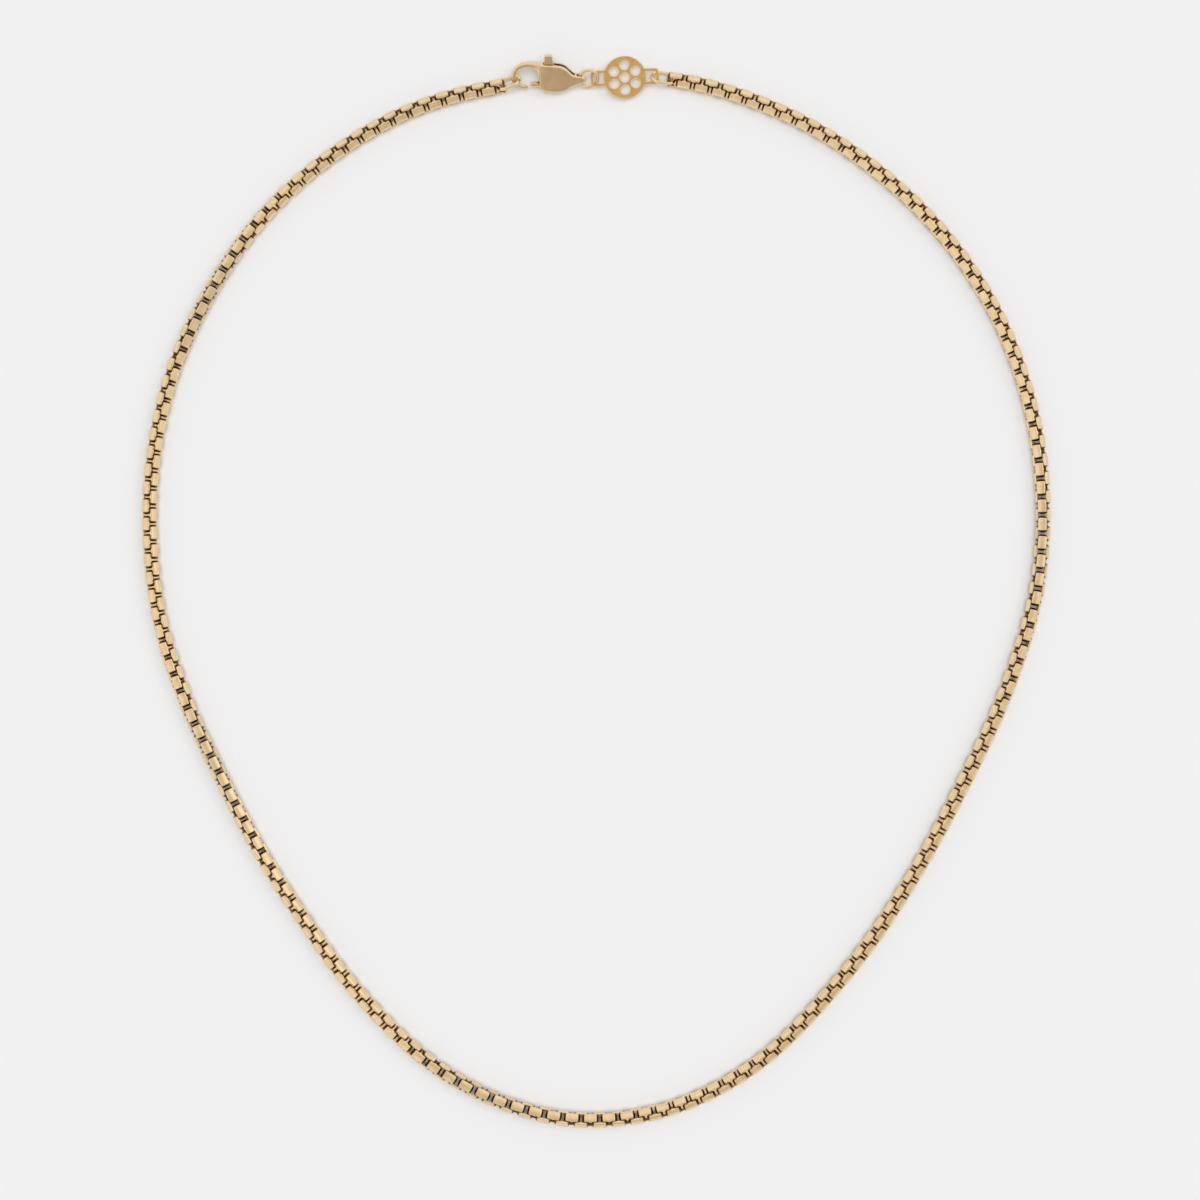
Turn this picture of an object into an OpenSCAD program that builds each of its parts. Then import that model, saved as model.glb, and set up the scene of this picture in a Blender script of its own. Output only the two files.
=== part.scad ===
// Round box chain necklace with a lobster clasp and a pierced charm, lying open on a flat surface.
// Millimetres. +Y points from the front of the chain to the clasp, +Z up, and z = 0 is the surface.
// The origin is the middle of the whole outline, on the surface.

/* [Chain] */
// Outer diameter of the round box chain
chain_d = 2.5; // [2.3:0.05:2.9]
// Length of one box link
link_l = 2.75; // [2.4:0.05:2.9]
// Width of the strip that a box link is bent from
link_w = 1.4; // [1.3:0.05:1.45]
// Thickness of that strip
link_wall = 0.5; // [0.4:0.02:0.52]
// Outer radius of the strip's four bends, seen from a link's side
link_bend_r = 0.4; // [0.3:0.05:0.5]
// Radius of a link's rounded end, seen on its flat face
link_face_r = 1.1; // [1:0.05:1.2]
// Space between each end of the chain and its end link
chain_end_gap = 0.12; // [0.1:0.02:0.3]

/* [Rings] */
// Outer length of the oval end rings
end_ring_l = 4.3; // [4.1:0.05:4.6]
// Outer width of the oval end rings
end_ring_w = 3.3; // [3.2:0.05:3.5]
// Wire diameter of the oval end rings
end_ring_wire = 0.56; // [0.5:0.02:0.6]
// Outer diameter of the round jump ring
jump_ring_d = 3.7; // [3.5:0.05:4.2]
// Wire diameter of the round jump ring
jump_ring_wire = 0.55; // [0.45:0.02:0.58]
// Free space left beside a ring's wire where it passes through a link or the hook
ring_play = 0.12; // [0.1:0.01:0.14]

/* [Charm] */
// Diameter of the charm's disc
charm_d = 7; // [6.4:0.1:8.5]
// Thickness of the charm
charm_t = 0.45; // [0.3:0.05:0.5]
// Width of the charm's rim outside its ring of holes
charm_rim = 0.6; // [0.45:0.05:0.8]
// Diameter of the round holes in the charm
charm_hole_d = 1.7; // [1.2:0.05:1.8]
// Number of round holes around the middle one
charm_holes = 6; // [5:1:6]
// How far each loop stands out from the disc
loop_out = 2.1; // [1.95:0.05:2.4]
// Outer width of each loop
loop_w = 2.6; // [2.5:0.05:3]
// Width of the loop's arms and end bar
loop_bar = 0.4; // [0.34:0.02:0.46]
// Width of the bars between the middle hole and the others
charm_web = 0.35; // [0.25:0.05:0.5]

/* [Clasp body] */
// Overall length of the clasp, from the hook to the tail
clasp_l = 12.4; // [11.8:0.1:13.5]
// Overall height of the clasp's side walls, from front to back
clasp_h = 5; // [4.8:0.1:5.4]
// Greatest thickness of the clasp
clasp_t = 2.5; // [2.4:0.05:2.9]
// Radius that rounds the clasp's long edges
clasp_edge_r = 0.3; // [0.15:0.05:0.35]
// Length of the eye in the tail that the jump ring passes through
eye_l = 0.95; // [0.9:0.02:1.05]
// Thickness of the wall that closes the eye at the tail's tip
eye_wall = 0.65; // [0.5:0.05:0.75]

/* [Clasp lever] */
// Thickness of the lever's plate
lever_t = 0.95; // [0.8:0.05:1]
// Space between the lever and each side wall
lever_gap = 0.08; // [0.05:0.01:0.12]
// Diameter of the lever's gate arm
gate_d = 0.9; // [0.7:0.05:0.92]
// Reach of the gate arm from the pivot
gate_reach = 3.3; // [3.1:0.05:3.4]
// Width of the thumb tab at the clasp's back
tab_w = 1.6; // [1.3:0.05:1.7]
// Height of the thumb tab above the clasp's back
tab_h = 1.5; // [1:0.1:1.8]
// Radius of the lever's hub around the pivot
hub_r = 0.65; // [0.55:0.05:0.7]
// Diameter of the pivot pin
pin_d = 0.7; // [0.5:0.05:0.8]
// Length of the pivot pin
pin_l = 2; // [1.8:0.05:2.1]

/* [Lie on the surface] */
// Width of the loop, between the chain's middle lines
chain_span = 147.5; // [144:0.5:151]
// Length of the loop, from the clasp to the chain's middle line at the front
chain_drop = 172; // [169:0.5:175]
// Where the clasp's own zero lies, left of the middle
clasp_x = -8.5; // [-10:0.5:-7]
// Where the clasp's own zero lies, above the middle
clasp_y = 85; // [83:0.5:87]
// Roll of the clasp about its length, with its back raised
clasp_roll = 27; // [24:1:29]
// Tilt of the jump ring, with its outer side raised
jump_tilt = 40; // [39:1:44]
// Tilt of the left end ring and its link, with the inner side raised
left_tilt = 50; // [46:1:54]
// Tilt of the right end ring and its link, with the inner side raised
right_tilt = 46; // [44:1:50]
// Height of the charm's middle above the chain's middle
charm_lift = 0.25; // [0.1:0.05:0.4]

/* [Hidden] */
$fn = 64;

gold = [0.86, 0.70, 0.44];
dull_gold = [0.78, 0.62, 0.37];
bright_gold = [0.90, 0.72, 0.42];

// Headings of the pieces in the row between the chain's ends, in degrees
left_link_turn = 12;
left_ring_turn = 19.5;
jump_turn = 1.5;
charm_turn = 2.5;
right_ring_turn = -8.5;
right_link_turn = -8;

// The chain's route between its end links, counter-clockwise from the clasp's hook.
// It is drawn in millimetres and then stretched to chain_span and chain_drop.
ROUTE = [
    [-34.5, 78], [-51, 67], [-62.5, 53], [-70.5, 36], [-74, 17.5], [-73, -1.5], [-68, -18.5], [-60, -35.5],
    [-50, -52.5], [-39, -67], [-24.5, -80], [-7.5, -87], [10.5, -86], [26.5, -78], [40.5, -64], [51, -49.5],
    [60.5, -32.5], [68, -16], [73.5, 3], [73.5, 21], [69, 40], [60.5, 55.5], [47.5, 69], [32, 79]
];
route_steps = 3;
tube_sides = 12;

// Outline and thickness of the clasp from the hook's tip round to the tail.
// Columns: outer edge x and y, inner edge x and y, thickness.
// The x columns are shares of clasp_l, the y columns of clasp_h and the last of clasp_t.
CLASP_SECTIONS = [
    [-0.222, -0.324, -0.242, -0.224, 0.34],
    [-0.282, -0.332, -0.282, -0.220, 0.36],
    [-0.339, -0.290, -0.327, -0.190, 0.38],
    [-0.399, -0.210, -0.359, -0.110, 0.40],
    [-0.437, -0.100, -0.382, -0.030, 0.42],
    [-0.452, 0.040, -0.389, 0.070, 0.44],
    [-0.437, 0.240, -0.377, 0.190, 0.44],
    [-0.403, 0.390, -0.353, 0.290, 0.46],
    [-0.347, 0.492, -0.310, 0.364, 0.48],
    [-0.274, 0.548, -0.258, 0.404, 0.52],
    [-0.202, 0.570, -0.198, 0.404, 0.60],
    [-0.141, 0.560, -0.141, 0.360, 0.70],
    [-0.101, 0.548, -0.103, 0.260, 0.82],
    [-0.077, 0.540, -0.083, 0.100, 0.90],
    [-0.060, 0.532, -0.075, -0.080, 0.94],
    [-0.040, 0.524, -0.066, -0.230, 0.97],
    [0.000, 0.516, -0.024, -0.330, 1.00],
    [0.065, 0.506, 0.048, -0.390, 1.00],
    [0.145, 0.490, 0.145, -0.410, 1.00],
    [0.218, 0.460, 0.226, -0.390, 0.99],
    [0.274, 0.396, 0.286, -0.330, 0.95],
    [0.323, 0.284, 0.339, -0.250, 0.88],
    [0.371, 0.174, 0.387, -0.204, 0.80],
    [0.427, 0.128, 0.435, -0.164, 0.76],
    [0.492, 0.110, 0.492, -0.120, 0.72],
    [0.532, 0.076, 0.532, -0.086, 0.60],
    [0.548, 0.030, 0.548, -0.040, 0.44]
];
clasp_steps = 2;
corner_steps = 3;

// Shares of the clasp's size that its other features follow
hook_inner_x = -0.389 * clasp_l;
mouth_x = -0.121 * clasp_l;
tail_x = 0.548 * clasp_l;
back_y = 0.508 * clasp_h;
front_y = 0.41 * clasp_h;
pivot_x = 0.073 * clasp_l;
pivot_y = -0.16 * clasp_h;
tab_x = 0.052 * clasp_l;
gate_y = -0.19 * clasp_h;

// The slot between the clasp's side walls, and the groove it leaves along the back
slot_w = lever_t + 2 * lever_gap;
slot_floor_y = pivot_y - hub_r - lever_gap;
slot_roof_y = 0.2 * clasp_h;
slot_step_y = 0.32 * clasp_h;
slot_left_x = tab_x - tab_w / 2 - 2 * lever_gap;
slot_heel_x = 0.177 * clasp_l;
groove_foot = [0.29 * clasp_l, -0.18 * clasp_h];
groove_floor_y = 0.03 * clasp_h;
groove_end_gap = 0.3;

// Clearances and small roundings
link_inner_r = 0.15;
bore_fit = 0.02;
running_fit = 0.05;
gate_end_r = 0.18;
tab_lean = 0.25;
tab_corner = 0.12;
round_limit = 0.9;

// The eye in the tail
eye_x = tail_x - eye_wall - eye_l / 2;
eye_h = 2 * jump_ring_wire;
eye_corner = 0.2;
eye_play = 0.12;
hook_play = 0.24;

// The charm's holes and loops
charm_edge_hole = charm_d / 2 - charm_rim - charm_hole_d / 2;
charm_middle_d = 2 * (charm_edge_hole - charm_web) - charm_hole_d;
loop_root = 0.4;
loop_corner = 0.5;
loop_inner_corner = 0.32;
loop_seat = 0.58 * (loop_out - loop_bar);

// Heights above the surface
chain_z = chain_d / 2;
charm_z = chain_z + charm_lift;
clasp_z = clasp_t / 2 * cos(clasp_roll) + front_y * sin(clasp_roll)
    - clasp_edge_r * (cos(clasp_roll) + sin(clasp_roll) - 1);

// A point given in the clasp's own frame, placed on the surface
function on_clasp(p) = [
    clasp_x + p[0],
    clasp_y + p[1] * cos(clasp_roll) - p[2] * sin(clasp_roll),
    clasp_z + p[1] * sin(clasp_roll) + p[2] * cos(clasp_roll)
];

// The point a straight length away from p in a heading, ending at height z
function reach(p, length, turn, z) = let (run = sqrt(length * length - pow(z - p[2], 2)))
    [p[0] + run * cos(turn), p[1] + run * sin(turn), z];

// The row of joints from the chain's left end to its right end: each is the middle of a ring's wire
ring_inner_r = end_ring_w / 2 - end_ring_wire;
ring_bulge = ring_inner_r - sqrt(pow(ring_inner_r, 2) - pow(link_w / 2, 2));
link_seat = link_l / 2 - link_wall - ring_bulge - end_ring_wire / 2 - ring_play;
left_near = on_clasp([hook_inner_x + end_ring_wire / 2 + hook_play, 0, 0]);
left_far = reach(left_near, end_ring_l - end_ring_wire, 180 + left_ring_turn, chain_z);
left_link = reach(left_far, link_seat, 180 + left_link_turn, chain_z);
jump_near = on_clasp([eye_x - eye_l / 2 + eye_play + jump_ring_wire / 2, 0, 0]);
jump_far = reach(jump_near, jump_ring_d - jump_ring_wire, jump_turn, charm_z);
charm_at = reach(jump_far, charm_d / 2 + loop_seat, charm_turn, charm_z);
right_near = reach(charm_at, charm_d / 2 + loop_seat, charm_turn, charm_z);
right_far = reach(right_near, end_ring_l - end_ring_wire, right_ring_turn, chain_z);
right_link = reach(right_far, link_seat, right_link_turn, chain_z);

// The chain's middle line: a smooth curve through the end links and the route's points
function flat(p) = [p[0], p[1]];
function heading(turn) = [cos(turn), sin(turn)];
route_xs = [for (p = ROUTE) p[0]];
route_w = max(route_xs) - min(route_xs);
route_h = clasp_y - min([for (p = ROUTE) p[1]]);
route = [for (p = ROUTE)
    [p[0] * chain_span / route_w, clasp_y - (clasp_y - p[1]) * chain_drop / route_h]];
inner_count = len(route);
first_span = norm(route[0] - flat(left_link));
last_span = norm(route[inner_count - 1] - flat(right_link));
knots = concat(
    [route[0] + 2 * first_span * heading(left_link_turn), flat(left_link)],
    route,
    [flat(right_link), route[inner_count - 1] + 2 * last_span * heading(180 + right_link_turn)]
);

// Curve value a share t of the way between the rows b and c of a table
function between(a, b, c, d, t) =
    (2 * b + (c - a) * t + (2 * a - 5 * b + 4 * c - d) * t * t + (3 * b - a - 3 * c + d) * t * t * t) / 2;

route_last = len(knots) - 3;
smooth = concat(
    [for (i = [1 : route_last], k = [0 : route_steps - 1])
        between(knots[i - 1], knots[i], knots[i + 1], knots[i + 2], k / route_steps)],
    [knots[route_last + 1]]
);
end_room = link_l / 2 + chain_end_gap;
ring_last = len(smooth) - 1;
centre_line = [for (i = [0 : ring_last])
    i == 0 ? smooth[0] + end_room * heading(180 + left_link_turn)
    : i == ring_last ? smooth[i] + end_room * heading(right_link_turn)
    : smooth[i]];

// Middle of the whole outline
tab_top = back_y + tab_h;
top_edge = max(
    charm_at[1] + charm_d / 2,
    on_clasp([0, tab_top, -lever_t / 2])[1],
    max([for (p = centre_line) p[1]]) + chain_d / 2
);
low_edge = min([for (p = centre_line) p[1]]) - chain_d / 2;
left_edge = min([for (p = centre_line) p[0]]) - chain_d / 2;
right_edge = max([for (p = centre_line) p[0]]) + chain_d / 2;
middle = [(left_edge + right_edge) / 2, (low_edge + top_edge) / 2, 0];

// Closed skin over rings of points, each ring of the same count
module loft(rings) {
    rows = len(rings);
    sides = len(rings[0]);
    walls = [for (i = [0 : rows - 2], k = [0 : sides - 1])
        let (n = (k + 1) % sides, a = i * sides, b = (i + 1) * sides)
        each [[a + k, b + k, b + n], [a + k, b + n, a + n]]];
    first_cap = [[for (k = [0 : sides - 1]) k]];
    last_cap = [[for (k = [sides - 1 : -1 : 0]) (rows - 1) * sides + k]];
    polyhedron(points = [for (r = rings) each r], faces = concat(walls, first_cap, last_cap));
}

// Rectangle with round corners, centred
module round_box(l, w, r) {
    square([l - 2 * r, w], center = true);
    square([l, w - 2 * r], center = true);
    for (sx = [-1, 1], sy = [-1, 1])
        translate([sx * (l / 2 - r), sy * (w / 2 - r)]) circle(r);
}

// Everything is drawn about the middle of the outline
module placed() {
    translate(-middle) children();
}

// Wire ring in its own flat plane, round or drawn out along x
module wire_ring(l, w, wire) {
    straight = l - w;
    bend_r = (w - wire) / 2;
    if (straight > 0) {
        for (side = [-1, 1]) {
            translate([side * straight / 2, 0, 0])
                rotate([0, 0, side * 90 - 180])
                    rotate_extrude(angle = 180) translate([bend_r, 0]) circle(d = wire);
            translate([0, side * bend_r, 0])
                rotate([0, 90, 0]) cylinder(d = wire, h = straight, center = true);
        }
    } else {
        rotate_extrude() translate([bend_r, 0]) circle(d = wire);
    }
}

// Wire ring whose long axis runs from joint a to joint b, then tilted about that axis
module ring_between(a, b, l, w, wire, tilt) {
    span = b - a;
    pitch = asin(span[2] / norm(span));
    turn = atan2(span[1], span[0]);
    translate((a + b) / 2) rotate([tilt, -pitch, turn]) wire_ring(l, w, wire);
}

// One box link along x, flat faces up and down: a strip bent to a ring, rounded to the chain's barrel
module box_link() {
    difference() {
        intersection() {
            rotate([90, 0, 0]) linear_extrude(link_w, center = true) round_box(link_l, chain_d, link_bend_r);
            linear_extrude(chain_d, center = true) link_face();
            rotate([0, 90, 0]) cylinder(d = chain_d, h = link_l, center = true);
        }
        rotate([90, 0, 0])
            linear_extrude(2 * link_w, center = true)
                round_box(link_l - 2 * link_wall, chain_d - 2 * link_wall, link_inner_r);
    }
}

// Outline of a link's flat face: a band whose two ends are arcs
module link_face() {
    c = link_l / 2 - link_face_r;
    intersection() {
        square([link_l, link_w], center = true);
        union() {
            square([2 * c, link_w], center = true);
            translate([c, 0]) circle(link_face_r);
            translate([-c, 0]) circle(link_face_r);
        }
    }
}

module link_at(at, turn, tilt) {
    translate(at) rotate([-tilt, 0, turn]) box_link();
}

// The chain: a tube with a flat underside that carries the outline of the linked chain
module chain() {
    corner = chain_d / 2 / cos(180 / tube_sides);
    rings = [for (i = [0 : ring_last])
        let (
            ahead = centre_line[min(i + 1, ring_last)],
            behind = centre_line[max(i - 1, 0)],
            run = ahead - behind,
            side = [run[1], -run[0]] / norm(run)
        )
        [for (k = [0 : tube_sides - 1])
            let (
                a = (k + 0.5) * 360 / tube_sides,
                p = centre_line[i] + corner * cos(a) * side
            )
            [p[0], p[1], chain_z + corner * sin(a)]]];
    color(gold) placed() loft(rings);
}

module box_link_left() {
    color(gold) placed() link_at(left_link, left_link_turn, left_tilt);
}

module box_link_right() {
    color(gold) placed() link_at(right_link, right_link_turn, right_tilt);
}

module end_ring_left() {
    color(bright_gold) placed()
        ring_between(left_far, left_near, end_ring_l, end_ring_w, end_ring_wire, -left_tilt);
}

module end_ring_right() {
    color(bright_gold) placed()
        ring_between(right_near, right_far, end_ring_l, end_ring_w, end_ring_wire, -right_tilt);
}

module jump_ring() {
    color(bright_gold) placed()
        ring_between(jump_near, jump_far, jump_ring_d, jump_ring_d, jump_ring_wire, jump_tilt);
}

// The charm: a disc with a ring of round holes and a loop on each side
module charm() {
    loop_l = loop_out + loop_root;
    color(dull_gold) placed() translate(charm_at) rotate([0, 0, charm_turn])
        linear_extrude(charm_t, center = true) difference() {
            union() {
                circle(charm_d / 2);
                for (side = [-1, 1])
                    translate([side * (charm_d / 2 - loop_root + loop_l / 2), 0])
                        round_box(loop_l, loop_w, loop_corner);
            }
            circle(charm_middle_d / 2);
            for (k = [0 : charm_holes - 1])
                rotate(k * 360 / charm_holes) translate([0, charm_edge_hole]) circle(charm_hole_d / 2);
            for (side = [-1, 1])
                difference() {
                    translate([side * (charm_d / 2 + loop_out / 2 - loop_bar), 0])
                        round_box(loop_out, loop_w - 2 * loop_bar, loop_inner_corner);
                    circle(charm_d / 2);
                }
        }
}

module in_clasp() {
    placed() translate([clasp_x, clasp_y, clasp_z]) rotate([clasp_roll, 0, 0]) children();
}

// Ring of points round one section of the clasp: a rectangle with round corners from outer to inner edge
function clasp_ring(row) =
    let (
        outer = [row[0] * clasp_l, row[1] * clasp_h],
        inner = [row[2] * clasp_l, row[3] * clasp_h],
        half_t = row[4] * clasp_t / 2,
        across = outer - inner,
        half_w = norm(across) / 2,
        u = across / norm(across),
        mid = (outer + inner) / 2,
        r = min(clasp_edge_r, round_limit * half_w, round_limit * half_t)
    )
    [for (q = [0 : 3], k = [0 : corner_steps])
        let (
            a = 90 * q + 90 * k / corner_steps,
            su = (q == 0 || q == 3) ? 1 : -1,
            sz = q < 2 ? 1 : -1,
            w = su * (half_w - r) + r * cos(a),
            p = mid + w * u
        )
        [p[0], p[1], sz * (half_t - r) + r * sin(a)]];

module clasp_shape() {
    rows = len(CLASP_SECTIONS);
    table = concat(
        [2 * CLASP_SECTIONS[0] - CLASP_SECTIONS[1]],
        CLASP_SECTIONS,
        [2 * CLASP_SECTIONS[rows - 1] - CLASP_SECTIONS[rows - 2]]
    );
    sections = concat(
        [for (i = [1 : rows - 1], k = [0 : clasp_steps - 1])
            between(table[i - 1], table[i], table[i + 1], table[i + 2], k / clasp_steps)],
        [CLASP_SECTIONS[rows - 1]]
    );
    loft([for (s = sections) clasp_ring(s)]);
}

// The slot between the side walls that the lever works in, open at the mouth and along the back
module lever_slot() {
    groove_end = eye_x - eye_l / 2 - groove_end_gap;
    linear_extrude(slot_w, center = true) polygon([
        [mouth_x, slot_floor_y],
        [mouth_x, slot_roof_y],
        [slot_left_x, slot_step_y],
        [slot_left_x, clasp_h],
        [groove_end, clasp_h],
        [groove_end, groove_floor_y],
        groove_foot,
        [slot_heel_x, slot_floor_y]
    ]);
}

module clasp_body() {
    color(dull_gold) in_clasp() difference() {
        clasp_shape();
        lever_slot();
        translate([eye_x, 0, 0]) rotate([90, 0, 0])
            linear_extrude(clasp_h, center = true) round_box(eye_l, eye_h, eye_corner);
        translate([pivot_x, pivot_y, 0]) cylinder(d = pin_d + 2 * bore_fit, h = pin_l + 2 * bore_fit, center = true);
    }
}

// The lever: a thumb tab, a hub on the pivot and a round gate arm that closes the hook
module clasp_lever() {
    left = tab_x - tab_w / 2;
    right = tab_x + tab_w / 2;
    color(dull_gold) in_clasp() difference() {
        union() {
            linear_extrude(lever_t, center = true) {
                polygon([
                    [left, 0],
                    [left, tab_top - tab_corner],
                    [left + tab_corner, tab_top],
                    [right - tab_lean - tab_corner, tab_top],
                    [right - tab_lean, tab_top - tab_corner],
                    [right, back_y],
                    [pivot_x + hub_r, pivot_y],
                    [pivot_x - hub_r, pivot_y]
                ]);
                translate([pivot_x, pivot_y]) circle(hub_r);
            }
            translate([pivot_x, gate_y, 0]) rotate([0, -90, 0]) gate_arm();
        }
        translate([pivot_x, pivot_y, 0]) cylinder(d = pin_d + 2 * running_fit, h = 2 * lever_t, center = true);
    }
}

// Round arm along +z with a rounded end
module gate_arm() {
    r = gate_d / 2;
    rotate_extrude() {
        square([r - gate_end_r, gate_reach]);
        square([r, gate_reach - gate_end_r]);
        translate([r - gate_end_r, gate_reach - gate_end_r]) circle(gate_end_r);
    }
}

module pivot_pin() {
    color(dull_gold) in_clasp()
        translate([pivot_x, pivot_y, 0]) cylinder(d = pin_d, h = pin_l, center = true);
}

chain();
box_link_left();
box_link_right();
end_ring_left();
end_ring_right();
jump_ring();
charm();
clasp_body();
clasp_lever();
pivot_pin();
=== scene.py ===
# %% [markdown]
# # A round box chain necklace, dressed for its picture
#
# The solids come from the CAD model. This lesson loads them
# as a fixed frame and then makes the surfaces that the eye sees: 311 interlocked
# box links, three wire rings, a pierced charm and a small lobster clasp, all in
# gold-plated metal, lying on a pale sheet under a soft studio light.
#
# Everything is in metres, in the frame of the CAD model: +Y points from the front
# of the chain to the clasp and z = 0 is the sheet. Sizes are typed in millimetres,
# because that is how jewellers give them, and `MM` turns them into metres.

# %% Load the frame
import bmesh
import bpy
import numpy as np
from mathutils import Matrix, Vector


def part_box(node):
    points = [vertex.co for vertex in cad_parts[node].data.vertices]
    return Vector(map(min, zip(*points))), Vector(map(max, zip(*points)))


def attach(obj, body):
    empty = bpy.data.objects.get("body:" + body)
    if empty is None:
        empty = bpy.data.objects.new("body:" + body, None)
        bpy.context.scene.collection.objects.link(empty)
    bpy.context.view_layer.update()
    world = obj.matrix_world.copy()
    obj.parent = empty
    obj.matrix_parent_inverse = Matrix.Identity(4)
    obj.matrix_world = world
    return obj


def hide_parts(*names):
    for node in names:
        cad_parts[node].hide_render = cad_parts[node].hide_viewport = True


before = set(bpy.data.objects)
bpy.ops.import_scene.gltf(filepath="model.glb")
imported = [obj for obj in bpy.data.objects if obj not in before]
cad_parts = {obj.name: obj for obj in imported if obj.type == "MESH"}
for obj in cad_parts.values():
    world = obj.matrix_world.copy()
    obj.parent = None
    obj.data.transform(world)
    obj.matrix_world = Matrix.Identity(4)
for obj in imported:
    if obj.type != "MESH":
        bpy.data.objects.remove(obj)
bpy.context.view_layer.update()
MM = 0.001
print("CAD nodes:", ", ".join(sorted(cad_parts)))

# %% [markdown]
# ## Camera
#
# The picture was taken straight down, so the camera looks along -Z with +Y up. One
# pixel of the picture covers 0.1658 mm, and the picture is 1200 pixels wide. A long
# lens keeps the flat necklace free of perspective, and its distance follows from
# similar triangles: distance / lens = width of the view / width of the sensor. It
# is measured from the middle of the view, at half the chain's height.

# %% Camera
PIXEL = 0.1658 * MM
VIEW_WIDTH = 1200 * PIXEL
VIEW_MIDDLE = np.array([0.62, -1.35, 1.25]) * MM
camera = bpy.data.cameras.new("camera")
camera.lens = 100.0
camera.sensor_width = 36.0
camera_distance = VIEW_WIDTH * camera.lens / camera.sensor_width
camera_object = bpy.data.objects.new("camera", camera)
camera_object.location = VIEW_MIDDLE + np.array([0.0, 0.0, camera_distance])
bpy.context.scene.collection.objects.link(camera_object)
bpy.context.scene.camera = camera_object
print("camera height in mm:", round(camera_distance / MM, 1))

# %% [markdown]
# ## Sheet, studio light and surroundings
#
# Polished metal has no look of its own: it shows what stands round it. The sky of
# this studio is only there for the metal to show: light all round, a little dimmer
# straight overhead, so the middle of a flat face is a shade deeper than its rims.
# A soft window stands off to the upper right and a dark patch towards the lower
# edge of the picture, where the faces of the chain and the clasp turn duller. The
# sheet is lit by far lamps that the metal doesn't show: a wide one straight above
# for the short soft shadows, a very wide one for their outer part, and a weak one
# off to the right that makes them a little deeper on the left.

# %% Sheet, lamps and surroundings
def linear(r, g, b):
    """Screen colour, 0 to 255, to the linear light that shaders work in: ((c + 0.055) / 1.055) ^ 2.4."""
    c = np.array([r, g, b]) / 255.0
    low = c / 12.92
    high = ((c + 0.055) / 1.055) ** 2.4
    return tuple(float(v) for v in np.where(c <= 0.04045, low, high))


def link_nodes(tree, *pairs):
    """Join output sockets to input sockets, given as (node, output, node, input)."""
    for a, out, b, into in pairs:
        tree.links.new(a.outputs[out], b.inputs[into])


scene = bpy.context.scene
scene.view_settings.view_transform = "Standard"

world = bpy.data.worlds.new("studio")
world.use_nodes = True
scene.world = world
world.cycles_visibility.diffuse = False
sky = world.node_tree
sky.nodes.clear()
sky_out = sky.nodes.new("ShaderNodeOutputWorld")
sky_light = sky.nodes.new("ShaderNodeBackground")
sky_place = sky.nodes.new("ShaderNodeTexCoord")
sky_split = sky.nodes.new("ShaderNodeSeparateXYZ")
sky_ramp = sky.nodes.new("ShaderNodeValToRGB")
# How light the sky is from the horizon, at 0, to straight overhead, at 1
steps = [(0.0, 0.88), (0.3, 0.95), (0.58, 0.96), (0.8, 0.92), (0.93, 0.78), (1.0, 0.70)]
ramp = sky_ramp.color_ramp
ramp.elements[0].position, ramp.elements[1].position = steps[0][0], steps[-1][0]
for place, level in steps[1:-1]:
    ramp.elements.new(place)
for element, (place, level) in zip(ramp.elements, steps):
    element.color = (level, level * 0.995, level * 0.985, 1.0)
sky_sum = sky.nodes.new("ShaderNodeMath")
sky_sum.operation = "MULTIPLY"
# A bright patch and a dark one: where each stands, the spread of its edge, its factor
for socket, towards, start, end, factor in ((0, (0.63, 0.23, 0.74), 0.86, 0.97, 1.2),
                                            (1, (0.36, -0.81, 0.46), 0.45, 0.95, 0.68)):
    patch = sky.nodes.new("ShaderNodeVectorMath")
    patch.operation = "DOT_PRODUCT"
    patch.inputs[1].default_value = towards
    glow = sky.nodes.new("ShaderNodeMapRange")
    glow.interpolation_type = "SMOOTHSTEP"
    for name, value in (("From Min", start), ("From Max", end), ("To Min", 1.0), ("To Max", factor)):
        glow.inputs[name].default_value = value
    link_nodes(sky, (sky_place, "Generated", patch, 0), (patch, "Value", glow, "Value"),
               (glow, "Result", sky_sum, socket))
link_nodes(sky, (sky_place, "Generated", sky_split, "Vector"), (sky_split, "Z", sky_ramp, "Fac"),
           (sky_sum, "Value", sky_light, "Strength"),
           (sky_ramp, "Color", sky_light, "Color"), (sky_light, "Background", sky_out, "Surface"))


def far_lamp(name, height, width, strength, turn=0.0):
    """A lamp far away in the heading `turn`, `height` degrees up, that looks `width` degrees wide."""
    data = bpy.data.lights.new(name, "SUN")
    data.energy = strength
    data.angle = float(np.radians(width))
    lamp = bpy.data.objects.new(name, data)
    lamp.rotation_euler = (float(np.radians(90.0 - height)), 0.0, float(np.radians(turn + 90.0)))
    lamp.visible_glossy = False
    scene.collection.objects.link(lamp)


far_lamp("overhead_lamp", 90.0, 40.0, 1.35)
far_lamp("dome_lamp", 90.0, 170.0, 1.40)
far_lamp("key_lamp", 48.0, 30.0, 0.38, turn=20.0)

sheet_mesh = bpy.data.meshes.new("sheet")
half = 1.5
sheet_corners = [(-half, -half, 0), (half, -half, 0), (half, half, 0), (-half, half, 0)]
sheet_mesh.from_pydata(sheet_corners, [], [(0, 1, 2, 3)])
sheet = bpy.data.objects.new("sheet", sheet_mesh)
scene.collection.objects.link(sheet)
sheet_paint = bpy.data.materials.new("sheet_paper")
sheet_paint.use_nodes = True
paper = sheet_paint.node_tree.nodes["Principled BSDF"]
paper.inputs["Base Color"].default_value = (*linear(243, 243, 244), 1.0)
paper.inputs["Roughness"].default_value = 0.9
sheet.data.materials.append(sheet_paint)
print("sheet of", 2 * half, "m, three lamps, sky of", len(steps), "tones")
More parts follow.
